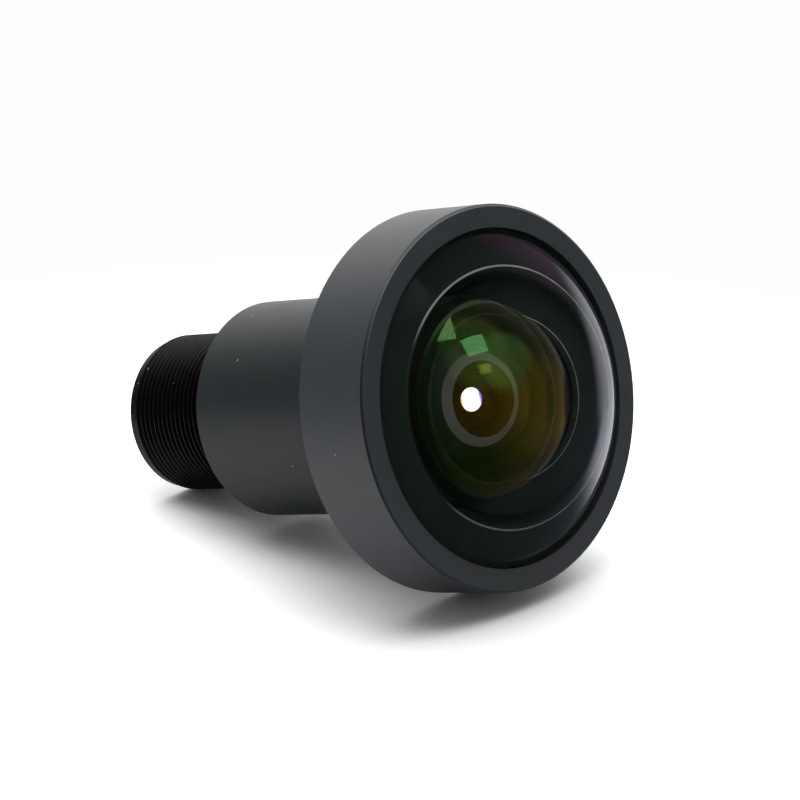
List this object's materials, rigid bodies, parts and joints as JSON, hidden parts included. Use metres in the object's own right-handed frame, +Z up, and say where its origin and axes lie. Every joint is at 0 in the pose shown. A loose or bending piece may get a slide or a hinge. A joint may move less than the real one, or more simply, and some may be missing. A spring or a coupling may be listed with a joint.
{
  "type": "cctv lens",
  "caption": "Wide-angle camera lens: a wide head with a domed front glass, a plain neck and a finely threaded rear barrel that screws into a holder.",
  "frame": {"origin": "centre of the shoulder, the flat rear face of the neck that the M12 thread leaves", "axes": "+Y along the optical axis from the front glass towards the sensor, +Z up, +X to the right seen from the front"},
  "size_m": [0.0278, 0.0398, 0.0278],
  "materials": {
    "anodised_head": "fine blasted, black anodised",
    "anodised_neck": "fine blasted, black anodised",
    "anodised_thread": "turned, black anodised",
    "dome_glass": "polished, antireflection coated",
    "lens_glass": "polished, antireflection coated",
    "filter_glass": "polished, infrared-cut coated",
    "black_spacer": "turned, matt black",
    "stop_sheet": "blackened sheet",
    "black_film": "matt black film",
    "slip_film": "smooth black film",
    "seal_rubber": "soft"
  },
  "bodies": {
    "barrel_group": {"front_lens": "dome_glass", "front_light_shield": "black_film", "second_lens": "lens_glass", "second_light_shield": "black_film", "third_lens": "lens_glass", "front_spacer": "black_spacer", "fourth_lens": "lens_glass", "stop_spacer": "black_spacer", "aperture_stop": "stop_sheet", "stack_retaining_ring": "black_spacer", "front_barrel": "anodised_neck", "front_o_ring": "seal_rubber", "crown_lens": "lens_glass", "flint_lens": "lens_glass", "middle_spacer": "black_spacer", "seventh_lens": "lens_glass", "rear_spacer": "black_spacer", "rear_lens": "lens_glass", "rear_retaining_ring": "black_spacer", "infrared_filter": "filter_glass", "rear_barrel": "anodised_thread"},
    "slip_ring": {"cap_slip_ring": "slip_film"},
    "cap": {"front_cap": "anodised_head"}
  },
  "joints": [
    {"name": "cap_travel", "type": "slide", "parent": "barrel_group", "child": "slip_ring", "axis": [0, -1, 0], "range_m": [0, 0.004]},
    {"name": "cap_turn", "type": "hinge", "parent": "slip_ring", "child": "cap", "pos_m": [0, -0.021, 0], "axis": [0, -1, 0], "range_deg": [0, 2880]}
  ],
  "couplings": [
    {"joint": "cap_travel", "follows": "cap_turn", "m_per_rad": 0.000079577}
  ]
}
